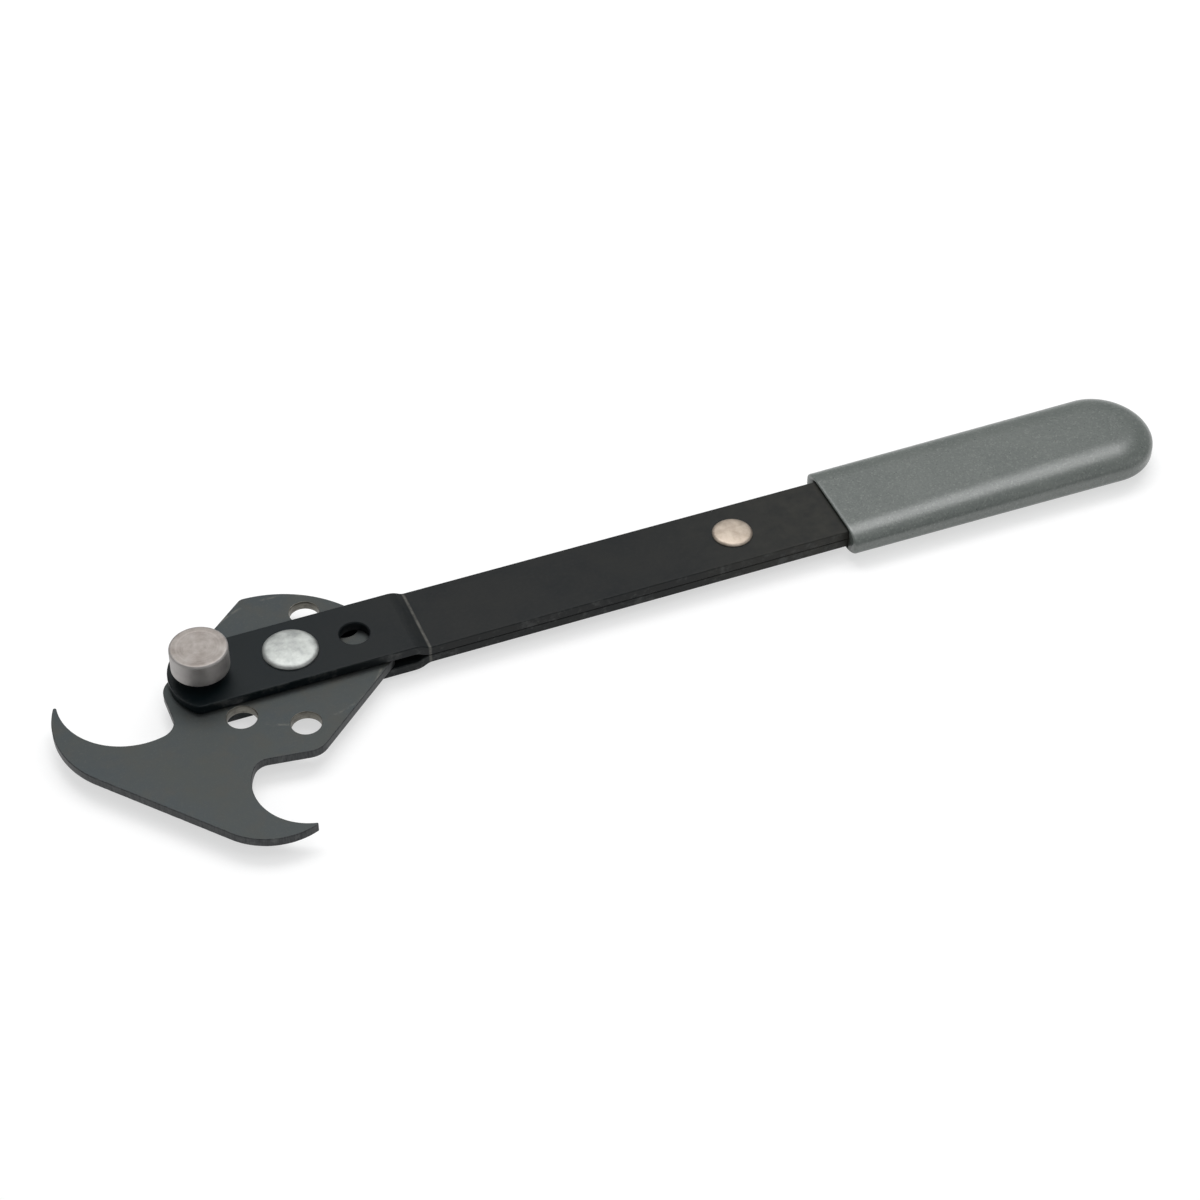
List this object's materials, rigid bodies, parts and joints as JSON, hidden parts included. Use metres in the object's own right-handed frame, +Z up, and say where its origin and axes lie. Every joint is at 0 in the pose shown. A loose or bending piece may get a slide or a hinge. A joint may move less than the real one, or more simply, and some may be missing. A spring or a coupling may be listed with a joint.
{
  "type": "indexing double-hook seal puller",
  "caption": "Long flat-bar lever with a forked end; a pivoting plate with two barbed hooks is set by a pull-up index pin, and the far end has a moulded grip.",
  "frame": {"origin": "middle of the overall length and width, at the lowest point", "axes": "+X along the handle towards the grip, +Z up out of the flat of the handle, on the knob's side"},
  "size_m": [0.3663, 0.0982, 0.0229],
  "materials": {
    "black_steel": "thin black finish, satin, edges slightly worn",
    "head_steel": "dark heat-treated steel, matt, bare at the edges and hole walls",
    "rivet_steel": "bright satin, low domed heads",
    "pin_steel": "ground dowel",
    "knob_metal": "satin turned metal",
    "grip_vinyl": "fine speckled grey-green moulding, satin"
  },
  "bodies": {
    "handle": {"upper_strap": "black_steel", "lower_strap": "black_steel", "pivot_rivet": "rivet_steel", "handle_rivet": "rivet_steel", "rear_rivet": "rivet_steel", "grip": "grip_vinyl"},
    "head": {"hook_plate": "head_steel"},
    "pin": {"index_pin": "pin_steel", "index_knob": "knob_metal"}
  },
  "joints": [
    {"name": "head_pivot", "type": "hinge", "parent": "handle", "child": "head", "pos_m": [-0.1089, 0.0188, 0.0064], "axis": [0, 0, 1], "range_deg": [-81.6, 0]},
    {"name": "pin_slide", "type": "slide", "parent": "handle", "child": "pin", "axis": [0, 0, 1], "range_m": [-0.0035, 0.008]}
  ]
}
